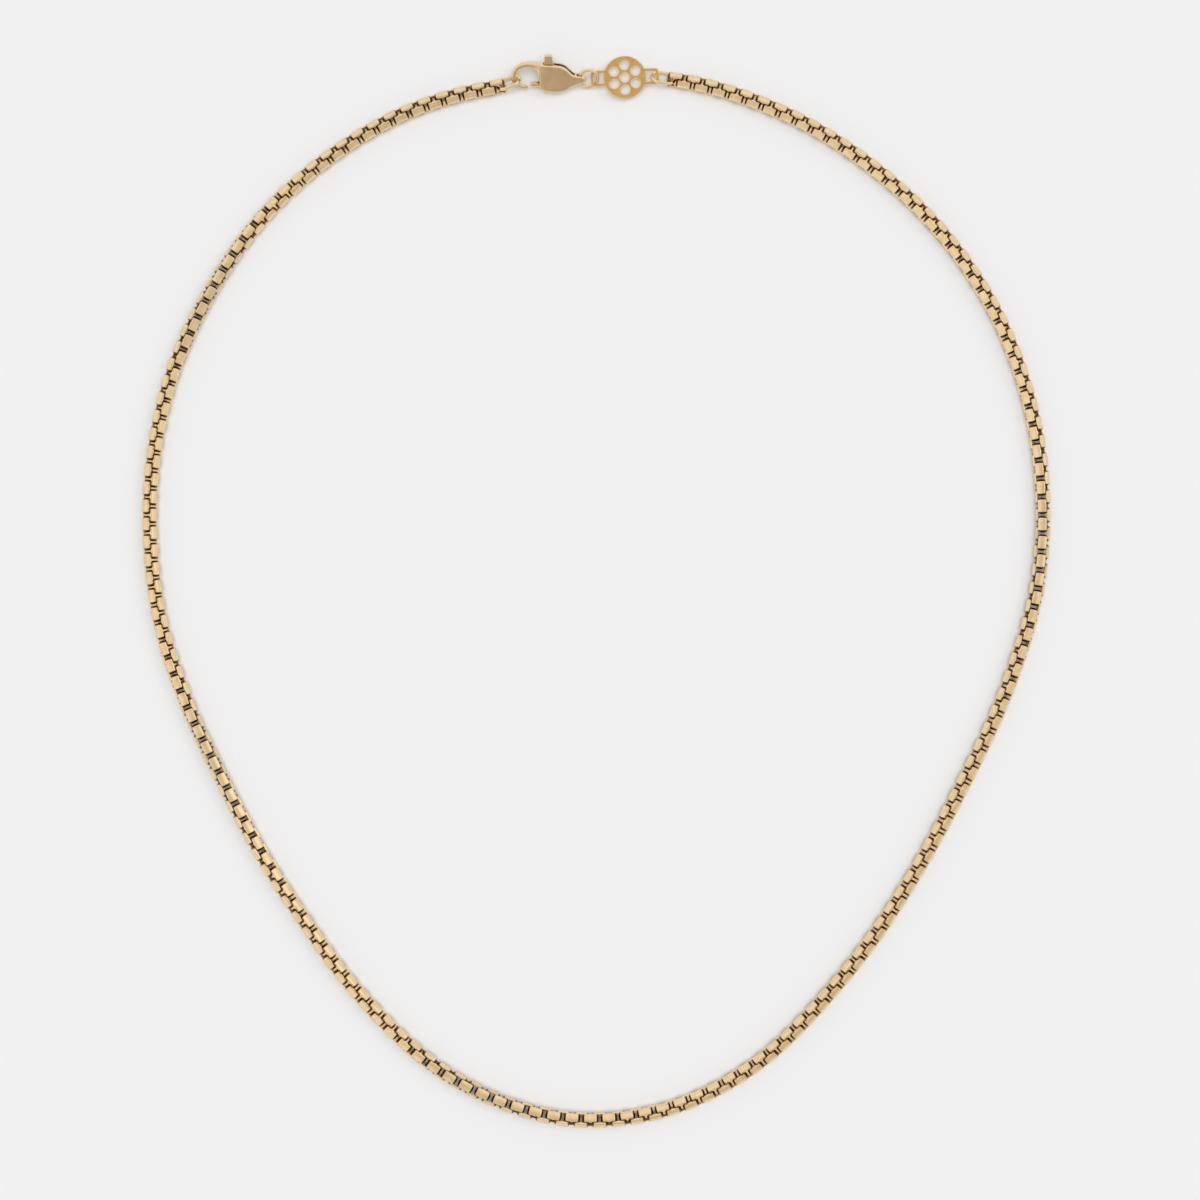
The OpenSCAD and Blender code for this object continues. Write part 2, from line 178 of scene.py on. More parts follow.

# %% [markdown]
# ## Gold
#
# The real plating isn't one flat colour. It is a little deeper where less polished,
# its gloss varies over fractions of a millimetre, and the satin parts have a fine
# grain. One node group makes all three from noise in object coordinates, and each
# material feeds it its own two tones, gloss range and grain size. Satin pieces with
# polished edges use a second group: it compares the surface's normal with the
# normal of the piece's flat face, and where they part, the edge is polished, with
# lower roughness, and painted a lighter tone, a painted highlight.

# %% Node groups for the plating
def new_group(name, inputs, outputs):
    """An empty node group with named float, colour and vector sockets."""
    group = bpy.data.node_groups.new(name, "ShaderNodeTree")
    for socket, kind in inputs:
        group.interface.new_socket(socket, in_out="INPUT", socket_type=kind)
    for socket, kind in outputs:
        group.interface.new_socket(socket, in_out="OUTPUT", socket_type=kind)
    return group, group.nodes.new("NodeGroupInput"), group.nodes.new("NodeGroupOutput")


COLOR, FLOAT, VECTOR = "NodeSocketColor", "NodeSocketFloat", "NodeSocketVector"
plating, p_in, p_out = new_group(
    "plating",
    [("Light Tone", COLOR), ("Deep Tone", COLOR), ("Gloss Low", FLOAT), ("Gloss High", FLOAT),
     ("Cloud Scale", FLOAT), ("Grain Scale", FLOAT), ("Grain Shape", VECTOR)],
    [("Color", COLOR), ("Roughness", FLOAT), ("Height", FLOAT)],
)
place = plating.nodes.new("ShaderNodeTexCoord")
brush = plating.nodes.new("ShaderNodeVectorMath")
brush.operation = "MULTIPLY"
cloud = plating.nodes.new("ShaderNodeTexNoise")
cloud.inputs["Detail"].default_value = 3.0
grain = plating.nodes.new("ShaderNodeTexNoise")
grain.inputs["Detail"].default_value = 4.0
tone = plating.nodes.new("ShaderNodeMix")
tone.data_type = "RGBA"
spread = plating.nodes.new("ShaderNodeMapRange")
spread.inputs["From Min"].default_value = 0.3
spread.inputs["From Max"].default_value = 0.7
gloss = plating.nodes.new("ShaderNodeMapRange")
gloss.inputs["From Min"].default_value = 0.3
gloss.inputs["From Max"].default_value = 0.7
link_nodes(
    plating,
    (place, "Object", cloud, "Vector"), (place, "Object", brush, 0), (p_in, "Grain Shape", brush, 1),
    (brush, "Vector", grain, "Vector"),
    (p_in, "Cloud Scale", cloud, "Scale"), (p_in, "Grain Scale", grain, "Scale"),
    (cloud, "Fac", spread, "Value"), (grain, "Fac", gloss, "Value"),
    (p_in, "Gloss Low", gloss, "To Min"), (p_in, "Gloss High", gloss, "To Max"),
    (gloss, "Result", p_out, "Roughness"), (grain, "Fac", p_out, "Height"),
)
# A colour mix takes its share at socket 0 and its colours at 6 and 7, and gives its result at 2
plating.links.new(spread.outputs["Result"], tone.inputs[0])
plating.links.new(p_in.outputs["Light Tone"], tone.inputs[6])
plating.links.new(p_in.outputs["Deep Tone"], tone.inputs[7])
plating.links.new(tone.outputs[2], p_out.inputs["Color"])

# The Edge mask lowers the roughness, which is real polish, and also mixes in a lighter colour, a painted
# highlight
edge_polish_and_highlight, e_in, e_out = new_group(
    "edge_polish_and_highlight",
    [("Face Gloss", FLOAT), ("Edge Gloss", FLOAT), ("Face X", FLOAT), ("Face Y", FLOAT), ("Face Z", FLOAT)],
    [("Roughness", FLOAT), ("Edge", FLOAT)],
)
geometry = edge_polish_and_highlight.nodes.new("ShaderNodeNewGeometry")
face_way = edge_polish_and_highlight.nodes.new("ShaderNodeCombineXYZ")
aligned = edge_polish_and_highlight.nodes.new("ShaderNodeVectorMath")
aligned.operation = "DOT_PRODUCT"
either = edge_polish_and_highlight.nodes.new("ShaderNodeMath")
either.operation = "ABSOLUTE"
edge = edge_polish_and_highlight.nodes.new("ShaderNodeMapRange")
edge.interpolation_type = "SMOOTHSTEP"
edge.inputs["From Min"].default_value = 0.985
edge.inputs["From Max"].default_value = 0.86
pick = edge_polish_and_highlight.nodes.new("ShaderNodeMix")
pick.data_type = "FLOAT"
link_nodes(
    edge_polish_and_highlight,
    (e_in, "Face X", face_way, "X"), (e_in, "Face Y", face_way, "Y"), (e_in, "Face Z", face_way, "Z"),
    (geometry, "Normal", aligned, 0), (face_way, "Vector", aligned, 1),
    (aligned, "Value", either, 0), (either, "Value", edge, "Value"), (edge, "Result", e_out, "Edge"),
)
# A mix of plain values takes them at sockets 2 and 3, and gives its result at 0
edge_polish_and_highlight.links.new(edge.outputs["Result"], pick.inputs[0])
edge_polish_and_highlight.links.new(e_in.outputs["Face Gloss"], pick.inputs[2])
edge_polish_and_highlight.links.new(e_in.outputs["Edge Gloss"], pick.inputs[3])
edge_polish_and_highlight.links.new(pick.outputs[0], e_out.inputs["Roughness"])
print("node groups:", plating.name, edge_polish_and_highlight.name)

# %% [markdown]
# Each gold is a Principled shader with Metallic set to 1 on its own socket. Polished
# pieces also read the face attribute `depth`, which is 1 where a link's strip dives
# into the chain; there the colour is mixed towards a dark brown tone, painted shade
# for the recesses between the links.

# %% Materials
def gold(name, light, deep, gloss, cloud_scale, grain_scale, grain_depth,
         grain_shape=(1.0, 1.0, 1.0), painted_shade_tone=None, face=None, painted_highlight_tone=None, edge_gloss=0.16):
    """Plated metal. `face` is the normal of a satin flat face whose edges are polished and painted a lighter
    tone, a painted highlight. Without it, the face attribute `depth` mixes in a dark tone, painted shade.
    """
    paint = bpy.data.materials.new(name)
    paint.use_nodes = True
    tree = paint.node_tree
    shader = tree.nodes["Principled BSDF"]
    shader.inputs["Metallic"].default_value = 1.0
    coat = tree.nodes.new("ShaderNodeGroup")
    coat.node_tree = plating
    coat.inputs["Light Tone"].default_value = (*light, 1.0)
    coat.inputs["Deep Tone"].default_value = (*deep, 1.0)
    coat.inputs["Gloss Low"].default_value = gloss[0]
    coat.inputs["Gloss High"].default_value = gloss[1]
    coat.inputs["Cloud Scale"].default_value = cloud_scale
    coat.inputs["Grain Scale"].default_value = grain_scale
    coat.inputs["Grain Shape"].default_value = grain_shape
    bump = tree.nodes.new("ShaderNodeBump")
    bump.inputs["Strength"].default_value = 1.0
    bump.inputs["Distance"].default_value = grain_depth
    link_nodes(tree, (coat, "Height", bump, "Height"), (bump, "Normal", shader, "Normal"))
    blend = tree.nodes.new("ShaderNodeMix")
    blend.data_type = "RGBA"
    tree.links.new(blend.outputs[2], shader.inputs["Base Color"])
    tree.links.new(coat.outputs["Color"], blend.inputs[6])
    # Painted shade: the face attribute depth mixes the colour towards a dark tone
    if face is None:
        depth = tree.nodes.new("ShaderNodeAttribute")
        depth.attribute_name = "depth"
        blend.inputs[7].default_value = (*(painted_shade_tone or deep), 1.0)
        tree.links.new(depth.outputs["Fac"], blend.inputs[0])
        link_nodes(tree, (coat, "Roughness", shader, "Roughness"))
    # Satin pieces: polished edges with lower roughness, and a lighter colour there that is a painted
    # highlight
    else:
        polish_and_highlight = tree.nodes.new("ShaderNodeGroup")
        polish_and_highlight.node_tree = edge_polish_and_highlight
        polish_and_highlight.inputs["Edge Gloss"].default_value = edge_gloss
        for axis, value in zip("XYZ", face):
            polish_and_highlight.inputs["Face " + axis].default_value = value
        blend.inputs[7].default_value = (*painted_highlight_tone, 1.0)
        tree.links.new(polish_and_highlight.outputs["Edge"], blend.inputs[0])
        link_nodes(tree, (coat, "Roughness", polish_and_highlight, "Face Gloss"),
                   (polish_and_highlight, "Roughness", shader, "Roughness"))
    return paint


CLASP_ROLL = 27.0
CLASP_FACE = (0.0, -float(np.sin(np.radians(CLASP_ROLL))), float(np.cos(np.radians(CLASP_ROLL))))
# The chain's dark brown third tone is painted shade for the recesses between its links
chain_gold = gold("chain_gold", light=(0.93, 0.72, 0.44), deep=(0.85, 0.60, 0.33), gloss=(0.13, 0.24),
                  cloud_scale=900.0, grain_scale=5200.0, grain_depth=4e-6, painted_shade_tone=(0.13, 0.052, 0.012))
ring_gold = gold("ring_gold", light=(0.93, 0.69, 0.38), deep=(0.86, 0.59, 0.29), gloss=(0.10, 0.20),
                 cloud_scale=700.0, grain_scale=4200.0, grain_depth=3e-6)
# The clasp's and the charm's lighter edge tones are painted highlights along their rounded edges
clasp_gold = gold("clasp_gold", light=(0.71, 0.50, 0.28), deep=(0.62, 0.42, 0.22), gloss=(0.30, 0.42),
                  cloud_scale=500.0, grain_scale=9000.0, grain_depth=4e-6, grain_shape=(1.0, 0.15, 0.15),
                  face=CLASP_FACE, painted_highlight_tone=(0.86, 0.65, 0.39))
charm_gold = gold("charm_gold", light=(0.76, 0.48, 0.18), deep=(0.66, 0.38, 0.12), gloss=(0.36, 0.50),
                  cloud_scale=600.0, grain_scale=12000.0, grain_depth=6e-6,
                  face=(0.0, 0.0, 1.0), painted_highlight_tone=(0.92, 0.68, 0.36), edge_gloss=0.2)
print("materials:", [m.name for m in (chain_gold, ring_gold, clasp_gold, charm_gold)])

# %% [markdown]
# ## Tools for surfaces
#
# A surface here is a grid of points, computed as one array. Neighbouring rows and
# columns of the grid become four-sided faces, and a grid that closes on itself
# along its columns is a tube. These few helpers turn arrays into Blender meshes.

# %% Helpers
def grid_quads(rows, cols, close_rows, close_cols=True):
    """Corner numbers of the faces of a grid whose point (i, k) has the number i * cols + k."""
    i = np.arange(rows if close_rows else rows - 1)[:, None]
    k = np.arange(cols if close_cols else cols - 1)[None, :]
    i_next, k_next = (i + 1) % rows, (k + 1) % cols
    corners = (i * cols + k, i * cols + k_next, i_next * cols + k_next, i_next * cols + k)
    return np.stack(np.broadcast_arrays(*corners), -1).reshape(-1, 4)


def mesh_from(name, points, blocks):
    """A mesh from an array of points and arrays of faces, one array for each number of corners."""
    mesh = bpy.data.meshes.new(name)
    corners = np.concatenate([b.ravel() for b in blocks]).astype(np.int32)
    sizes = np.concatenate([np.full(len(b), b.shape[1]) for b in blocks])
    starts = np.concatenate([[0], np.cumsum(sizes)[:-1]]).astype(np.int32)
    mesh.vertices.add(len(points))
    mesh.vertices.foreach_set("co", np.ascontiguousarray(points, np.float32).ravel())
    mesh.loops.add(len(corners))
    mesh.loops.foreach_set("vertex_index", corners)
    mesh.polygons.add(len(sizes))
    mesh.polygons.foreach_set("loop_start", starts)
    mesh.update(calc_edges=True)
    mesh.validate()
    mesh.shade_smooth()
    return mesh


def face_outwards(mesh):
    """Turn every face of a closed mesh outwards."""
    work = bmesh.new()
    work.from_mesh(mesh)
    bmesh.ops.recalc_face_normals(work, faces=work.faces)
    work.to_mesh(mesh)
    work.free()


def add_piece(name, mesh, paint, body, slot, *nodes):
    """Put a mesh in the scene as a piece that rides a body and stands for CAD nodes."""
    piece = bpy.data.objects.new(name, mesh)
    scene.collection.objects.link(piece)
    mesh.materials.clear()
    mesh.materials.append(paint)
    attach(piece, body)
    if nodes:
        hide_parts(*nodes)
    print(f"{name}: {len(mesh.vertices)} points, {len(mesh.polygons)} faces")
    return piece


def turn_matrix(x=0.0, y=0.0, z=0.0):
    """Rotation by x, then y, then z degrees about the fixed axes."""
    a, b, c = np.radians([x, y, z])
    rx = np.array([[1, 0, 0], [0, np.cos(a), -np.sin(a)], [0, np.sin(a), np.cos(a)]])
    ry = np.array([[np.cos(b), 0, np.sin(b)], [0, 1, 0], [-np.sin(b), 0, np.cos(b)]])
    rz = np.array([[np.cos(c), -np.sin(c), 0], [np.sin(c), np.cos(c), 0], [0, 0, 1]])
    return rz @ ry @ rx


def node_middle(node):
    """Middle of a CAD node's box, in mm."""
    low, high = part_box(node)
    return (np.array(low) + np.array(high)) / 2 / MM

# %% [markdown]
# ## Where things lie
#
# The row from the chain's left end to its right end is: end link, oval ring, clasp,
# round ring, charm, oval ring, end link. Each ring joins two points, and each such
# point is one straight reach from the last. The same values place the solids in the
# CAD source, so the boxes of the CAD nodes confirm the result.

# %% The row of joints
CLASP_L, CLASP_H, CLASP_T, CLASP_EDGE = 12.4, 5.0, 2.5, 0.3
CHAIN_D, LINK_L, LINK_W, LINK_WALL = 2.5, 2.75, 1.4, 0.5
LINK_BEND_R, LINK_FACE_R = 0.4, 1.1
OVAL_L, OVAL_W, OVAL_WIRE = 4.3, 3.3, 0.56
ROUND_D, ROUND_WIRE = 3.7, 0.55
CHARM_D, CHARM_T, LOOP_OUT, LOOP_W, LOOP_BAR = 7.0, 0.45, 2.1, 2.6, 0.4
EYE_L, EYE_WALL = 0.95, 0.65
RING_PLAY, HOOK_PLAY, EYE_PLAY = 0.12, 0.24, 0.12
LEFT_RING_TURN, LEFT_LINK_TURN = 199.5, 192.0
ROUND_RING_TURN, CHARM_TURN = 1.5, 2.5
RIGHT_RING_TURN, RIGHT_LINK_TURN = -8.5, -8.0
CHAIN_Z = CHAIN_D / 2
CHARM_Z = CHAIN_Z + 0.25
HOOK_X, TAIL_X = -0.389 * CLASP_L, 0.548 * CLASP_L
BACK_Y = 0.508 * CLASP_H
PIVOT = np.array([0.073 * CLASP_L, -0.16 * CLASP_H])
EYE_X = TAIL_X - EYE_WALL - EYE_L / 2
CLASP_ZERO = node_middle("pivot_pin") - turn_matrix(x=CLASP_ROLL) @ np.array([*PIVOT, 0.0])


def on_clasp(points):
    """Points of the clasp's own frame, turned by its roll and carried to its place."""
    return np.asarray(points, float) @ turn_matrix(x=CLASP_ROLL).T + CLASP_ZERO


def reach(start, length, turn, z):
    """The point a straight length away in a heading, at height z: run = sqrt(length^2 - rise^2)."""
    run = np.sqrt(length ** 2 - (z - start[2]) ** 2)
    a = np.radians(turn)
    return np.array([start[0] + run * np.cos(a), start[1] + run * np.sin(a), z])


ring_inner = OVAL_W / 2 - OVAL_WIRE
bulge = ring_inner - np.sqrt(ring_inner ** 2 - (LINK_W / 2) ** 2)
link_seat = LINK_L / 2 - LINK_WALL - bulge - OVAL_WIRE / 2 - RING_PLAY
loop_seat = 0.58 * (LOOP_OUT - LOOP_BAR)
left_near = on_clasp([HOOK_X + OVAL_WIRE / 2 + HOOK_PLAY, 0, 0])
left_far = reach(left_near, OVAL_L - OVAL_WIRE, LEFT_RING_TURN, CHAIN_Z)
left_link = reach(left_far, link_seat, LEFT_LINK_TURN, CHAIN_Z)
jump_near = on_clasp([EYE_X - EYE_L / 2 + EYE_PLAY + ROUND_WIRE / 2, 0, 0])
jump_far = reach(jump_near, ROUND_D - ROUND_WIRE, ROUND_RING_TURN, CHARM_Z)
charm_at = reach(jump_far, CHARM_D / 2 + loop_seat, CHARM_TURN, CHARM_Z)
right_near = reach(charm_at, CHARM_D / 2 + loop_seat, CHARM_TURN, CHARM_Z)
right_far = reach(right_near, OVAL_L - OVAL_WIRE, RIGHT_RING_TURN, CHAIN_Z)
right_link = reach(right_far, link_seat, RIGHT_LINK_TURN, CHAIN_Z)
for node, place_mm in (("box_link_left", left_link), ("box_link_right", right_link), ("charm", charm_at)):
    print(node, "is off its CAD place by", round(float(np.abs(node_middle(node) - place_mm).max()), 4), "mm")

# %% [markdown]
# ## The chain's middle line
#
# The loop was drawn as 24 points, and a Catmull-Rom curve runs through them
# and through both end links. Between the points b and c, with a before and d after,
# the curve at share t is half of
# 2b + (c - a)t + (2a - 5b + 4c - d)t^2 + (3b - a - 3c + d)t^3.
# Links sit at equal steps along its length, one pitch apart.

# %% Middle line and link places
ROUTE = np.array([
    [-34.5, 78], [-51, 67], [-62.5, 53], [-70.5, 36], [-74, 17.5], [-73, -1.5], [-68, -18.5], [-60, -35.5],
    [-50, -52.5], [-39, -67], [-24.5, -80], [-7.5, -87], [10.5, -86], [26.5, -78], [40.5, -64], [51, -49.5],
    [60.5, -32.5], [68, -16], [73.5, 3], [73.5, 21], [69, 40], [60.5, 55.5], [47.5, 69], [32, 79],
])
LINKS = 311
CLASP_SOURCE = np.array([-8.5, 85.0])
route = ROUTE + (CLASP_ZERO[:2] - CLASP_SOURCE)


def heading(turn):
    """Unit vector of a heading in degrees."""
    return np.array([np.cos(np.radians(turn)), np.sin(np.radians(turn))])


LEFT_HEADING = heading(LEFT_LINK_TURN - 180.0)
RIGHT_HEADING = heading(RIGHT_LINK_TURN)


def smooth_curve(knots, steps):
    """Catmull-Rom curve through all but the first and last knots, as one array of points."""
    a, b, c, d = (knots[k: len(knots) - 3 + k, None, :] for k in range(4))
    t = (np.arange(steps) / steps)[None, :, None]
    twice = 2 * b + (c - a) * t + (2 * a - 5 * b + 4 * c - d) * t ** 2 + (3 * b - a - 3 * c + d) * t ** 3
    return np.concatenate([twice.reshape(-1, knots.shape[1]) / 2, knots[-2:-1]])


first_span = np.linalg.norm(route[0] - left_link[:2])
last_span = np.linalg.norm(route[-1] - right_link[:2])
knots = np.concatenate([
    [route[0] + 2 * first_span * LEFT_HEADING, left_link[:2]],
    route,
    [right_link[:2], route[-1] + 2 * last_span * heading(RIGHT_LINK_TURN + 180.0)],
])
line = smooth_curve(knots, 60)
length = np.concatenate([[0.0], np.cumsum(np.linalg.norm(np.diff(line, axis=0), axis=1))])
pitch = length[-1] / (LINKS - 1)
print("middle line:", round(length[-1], 2), "mm, pitch", round(pitch, 4), "mm")

# %% [markdown]
# ## One box link
#
# A box link is a strip bent to a ring and closed. Seen from its side it is a
# rectangle with four rounded bends, and seen on its flat face its ends are rounded
# too, so the finished chain is round. The mesh follows the strip round the ring at
# twelve stations, three to a bend. At each station it follows the strip's own
# section: two points inside and six outside, which crown the plate a little.

# %% Link surface
LINK_CROWN_W, LINK_BEVEL_W, LINK_BEVEL_DROP, LINK_INNER_R = 0.6, 0.09, 0.05, 0.15


def bent_path(half_l, half_h, r):
    """Four bends of the strip as (x, z): centre + r (cos a, sin a), a from 5 to 90, then mirrored round."""
    a = np.radians([5.0, 78.0, 90.0])
    first = np.stack([half_l - r + r * np.cos(a), half_h - r + r * np.sin(a)], -1)
    second = first[::-1] * np.array([-1.0, 1.0])
    return np.concatenate([first, second, -first, -second])


def link_surface():
    """Twelve stations round the ring by eight points of the section, in mm, with the x axis along the chain.

    Across the strip, at the distance y from its middle line, the plate stands at the
    barrel's height sqrt((D/2)^2 - y^2) and ends at f + sqrt(F^2 - y^2), where F is
    the radius of its rounded end. The bends get tighter towards the strip's edges.
    """
    w, crown = LINK_W / 2, LINK_CROWN_W / 2
    near_edge = w - LINK_BEVEL_W
    across = np.array([-w, w, w, near_edge, crown, -crown, -near_edge, -w])
    bend = np.array([0.14, 0.25, LINK_BEND_R, LINK_BEND_R, 0.25, 0.14])
    lower = LINK_BEVEL_DROP * np.array([1.0, 0.0, 0.0, 0.0, 0.0, 1.0])
    outer_y = across[2:]
    height = np.sqrt((CHAIN_D / 2) ** 2 - outer_y ** 2) - lower
    nose = LINK_L / 2 - LINK_FACE_R + np.sqrt(LINK_FACE_R ** 2 - outer_y ** 2) - lower
    inner = bent_path(LINK_L / 2 - LINK_WALL, CHAIN_D / 2 - LINK_WALL, LINK_INNER_R)
    outer = [bent_path(l, h, r) for l, h, r in zip(nose, height, bend)]
    xz = np.stack([inner, inner, *outer], 1)
    return np.stack([xz[..., 0], np.broadcast_to(across, xz.shape[:2]), xz[..., 1]], -1)


LINK = link_surface()
STATIONS, SECTION = LINK.shape[:2]
LINK_QUADS = grid_quads(STATIONS, SECTION, close_rows=True)
# How deep in the chain each face lies, from 0 to 1, for the six faces of half a turn of the strip: the share
# of painted shade in its colour
OUTER_PAINTED_SHADE = np.tile([1.0, 0.0, 0.0, 0.0, 1.0, 1.0], 2)
SIDE_PAINTED_SHADE = np.tile([0.7, 0.1, 0.0, 0.1, 0.7, 0.7], 2)
INNER_PAINTED_SHADE = np.tile([1.0, 0.7, 0.1, 0.7, 1.0, 1.0], 2)
LINK_PAINTED_SHADE = np.stack([INNER_PAINTED_SHADE, SIDE_PAINTED_SHADE, *[OUTER_PAINTED_SHADE] * 5, SIDE_PAINTED_SHADE], 1).ravel()
print("faces in a link:", len(LINK_QUADS))

# %% [markdown]
# ## How the chain rolls
#
# Neighbouring links are turned a quarter against each other, and the whole chain
# also rolls slowly about its own line, so a stretch may show flat plates and the
# next one edges. The roll was read off the picture at a few places and is carried
# smoothly between them. A chain has play too: here it is pushed together a little,
# there it is drawn out, and it strays a fraction of a millimetre from its line.
# Tiny seeded differences keep the row from looking machined.

# %% Link frames
# Link number, roll in degrees
ROLL_AT = np.array([
    [0, 43], [5, 41], [15, 41], [20, 44], [25, 53], [30, 69], [35, 87], [40, 101], [45, 115], [50, 129],
    [55, 136], [65, 141], [75, 143], [80, 152], [85, 162], [90, 180], [95, 192], [100, 201], [105, 211],
    [110, 222], [120, 226], [125, 230], [130, 238], [135, 256], [140, 276], [145, 289], [150, 296],
    [155, 302], [160, 310], [165, 318], [175, 321], [195, 321], [205, 323], [220, 327], [225, 333],
    [230, 343], [235, 356], [240, 367], [245, 379], [250, 390], [255, 397], [260, 401], [270, 398],
    [280, 401], [295, 404], [300, 408], [310, 407],
])
# Link number, play along the line in pitches
PLAY_AT = np.array([
    [0, 0.0], [20, 0.13], [36, 0.11], [48, -0.07], [60, -0.31], [72, -0.51], [84, -0.77], [97, -1.08],
    [106, -1.19], [116, -0.97], [124, -0.86], [140, -0.78], [147, -0.64], [154, -0.46], [162, -0.42],
    [172, -0.35], [184, -0.41], [198, -0.47], [208, -0.35], [220, -0.08], [230, 0.13], [238, 0.25],
    [246, 0.28], [260, 0.27], [273, 0.22], [285, 0.16], [292, 0.11], [300, 0.13], [310, 0.0],
])
# Link number, distance from the line towards the inside in mm
STRAY_AT = np.array([
    [0, 0.0], [4, -0.24], [10, -0.16], [16, 0.03], [27, 0.38], [40, 0.38], [51, 0.08], [69, 0.1],
    [78, 0.02], [86, 0.1], [93, 0.3], [104, 0.05], [115, 0.24], [129, -0.2], [141, -0.08], [147, 0.1],
    [154, -0.08], [164, -0.1], [172, -0.24], [184, -0.2], [200, -0.03], [213, 0.06], [225, -0.1],
    [231, -0.03], [238, 0.22], [243, 0.06], [252, -0.28], [260, -0.02], [268, 0.08], [281, -0.1],
    [292, 0.05], [310, 0.0],
])
LEFT_END_ROLL, RIGHT_END_ROLL = 40.0, 404.0
SMOOTH_REACH = 4
YAW_SPREAD, SLIP_SPREAD, WOBBLE_SPREAD = 0.8, 0.01, 2.0


def read_off(table, at):
    """A table's value at each place, carried between its rows and smoothed over the links within reach."""
    weight = np.hanning(2 * SMOOTH_REACH + 3)
    value = np.interp(at, table[:, 0], table[:, 1])
    return np.convolve(np.pad(value, SMOOTH_REACH, mode="edge"), weight[1:-1] / weight.sum(), mode="valid")


def link_frames():
    """Place and axes of every link: along the line, across it, and out of its flat face.

    With T along the line, I towards the loop's inside and Z up, the plate of an odd
    link looks along Z cos(roll) + I sin(roll), and that of an even one a quarter turn back.
    """
    number = np.arange(LINKS)
    spot = number + read_off(PLAY_AT, number)
    spot[0], spot[-1] = 0, LINKS - 1
    at = spot * pitch
    centre = np.stack([np.interp(at, length, line[:, 0]), np.interp(at, length, line[:, 1])], -1)
    run = np.gradient(centre, axis=0)
    aside = np.stack([-run[:, 1], run[:, 0]], -1) / np.linalg.norm(run, axis=1, keepdims=True)
    stray = read_off(STRAY_AT, spot)
    stray[0], stray[-1] = 0.0, 0.0
    centre = centre + aside * stray[:, None]
    ahead = np.concatenate([centre[1:], right_link[None, :2] + pitch * RIGHT_HEADING[None]])
    behind = np.concatenate([left_link[None, :2] + pitch * LEFT_HEADING[None], centre[:-1]])
    along = ahead - behind
    along /= np.linalg.norm(along, axis=1, keepdims=True)
    along[0], along[-1] = -LEFT_HEADING, -RIGHT_HEADING
    chance = np.random.default_rng(11)
    inner_links = ((number > 0) & (number < LINKS - 1)).astype(float)
    yaw = np.radians(chance.uniform(-YAW_SPREAD, YAW_SPREAD, LINKS)) * inner_links
    slip = chance.uniform(-SLIP_SPREAD, SLIP_SPREAD, LINKS) * inner_links
    wobble = chance.uniform(-WOBBLE_SPREAD, WOBBLE_SPREAD, LINKS) * inner_links
    cos, sin = np.cos(yaw), np.sin(yaw)
    along = np.stack([along[:, 0] * cos - along[:, 1] * sin, along[:, 0] * sin + along[:, 1] * cos], -1)
    roll = read_off(ROLL_AT, spot)
    roll[0], roll[-1] = LEFT_END_ROLL, RIGHT_END_ROLL
    turn = np.radians(roll + wobble - 90.0 * (number % 2 == 0))
    inward = np.stack([-along[:, 1], along[:, 0]], -1)
    zero, one = np.zeros(LINKS), np.ones(LINKS)
    t = np.stack([along[:, 0], along[:, 1], zero], -1)
    up = np.stack([zero, zero, one], -1)
    into = np.stack([inward[:, 0], inward[:, 1], zero], -1)
    face = up * np.cos(turn)[:, None] + into * np.sin(turn)[:, None]
    across = np.cross(face, t)
    place_of = np.stack([centre[:, 0], centre[:, 1], np.full(LINKS, CHAIN_Z)], -1) + t * slip[:, None]
    return place_of, np.stack([t, across, face], 1)


link_places, link_axes = link_frames()
print("roll runs from", ROLL_AT[0, 1], "to", ROLL_AT[-1, 1], "degrees over", LINKS, "links")

# %% [markdown]
# The links are one array of points: every link's 96 points times its three axes,
# moved to its place. Edges along the strip's corners are marked sharp, so plates
# stay crisp while the bends of the strip shade smoothly.

# %% Links
def links_mesh(name, first, last):
    """One mesh of the links from number `first` up to but without number `last`."""
    points = np.einsum("pj,njk->npk", LINK.reshape(-1, 3), link_axes[first:last])
    points = (points + link_places[first:last, None, :]).reshape(-1, 3) * MM
    count = last - first
    quads = (LINK_QUADS[None] + (np.arange(count) * STATIONS * SECTION)[:, None, None]).reshape(-1, 4)
    mesh = mesh_from(name, points, [quads])
    ends = np.empty(len(mesh.edges) * 2, np.int32)
    mesh.edges.foreach_get("vertices", ends)
    row = (ends % SECTION).reshape(-1, 2)
    station = (ends // SECTION % STATIONS % 6).reshape(-1, 2)
    corner = (row[:, 0] == row[:, 1]) & (row[:, 0] != 4) & (row[:, 0] != 5)
    plate_end = (station[:, 0] == station[:, 1]) & ((station[:, 0] == 2) | (station[:, 0] == 3))
    # Painted shade: the face attribute depth mixes the bends and inner faces towards a dark brown tone
    depth = np.tile(LINK_PAINTED_SHADE, count).astype(np.float32)
    mesh.attributes.new("sharp_edge", "BOOLEAN", "EDGE").data.foreach_set("value", corner | plate_end)
    mesh.attributes.new("depth", "FLOAT", "FACE").data.foreach_set("value", depth)
    face_outwards(mesh)
    return mesh


for name, first, last, node in (
        ("linked_chain", 1, LINKS - 1, "chain"),
        ("end_link_left", 0, 1, "box_link_left"),
        ("end_link_right", LINKS - 1, LINKS, "box_link_right")):
    add_piece(name, links_mesh(name, first, last), chain_gold, "root", "chain_gold", node)

# %% [markdown]
# ## Rings
#
# A ring is round wire bent to a circle, or to a longer oval with two straight
# sides, and soldered shut. Its surface is a circle of points carried round that
# path, with the path's outward normal as one axis of the circle.

# %% Rings
LEFT_RING_TILT, RIGHT_RING_TILT, ROUND_RING_TILT = -50.0, -46.0, 40.0
BEND_POINTS, WIRE_POINTS = 33, 24


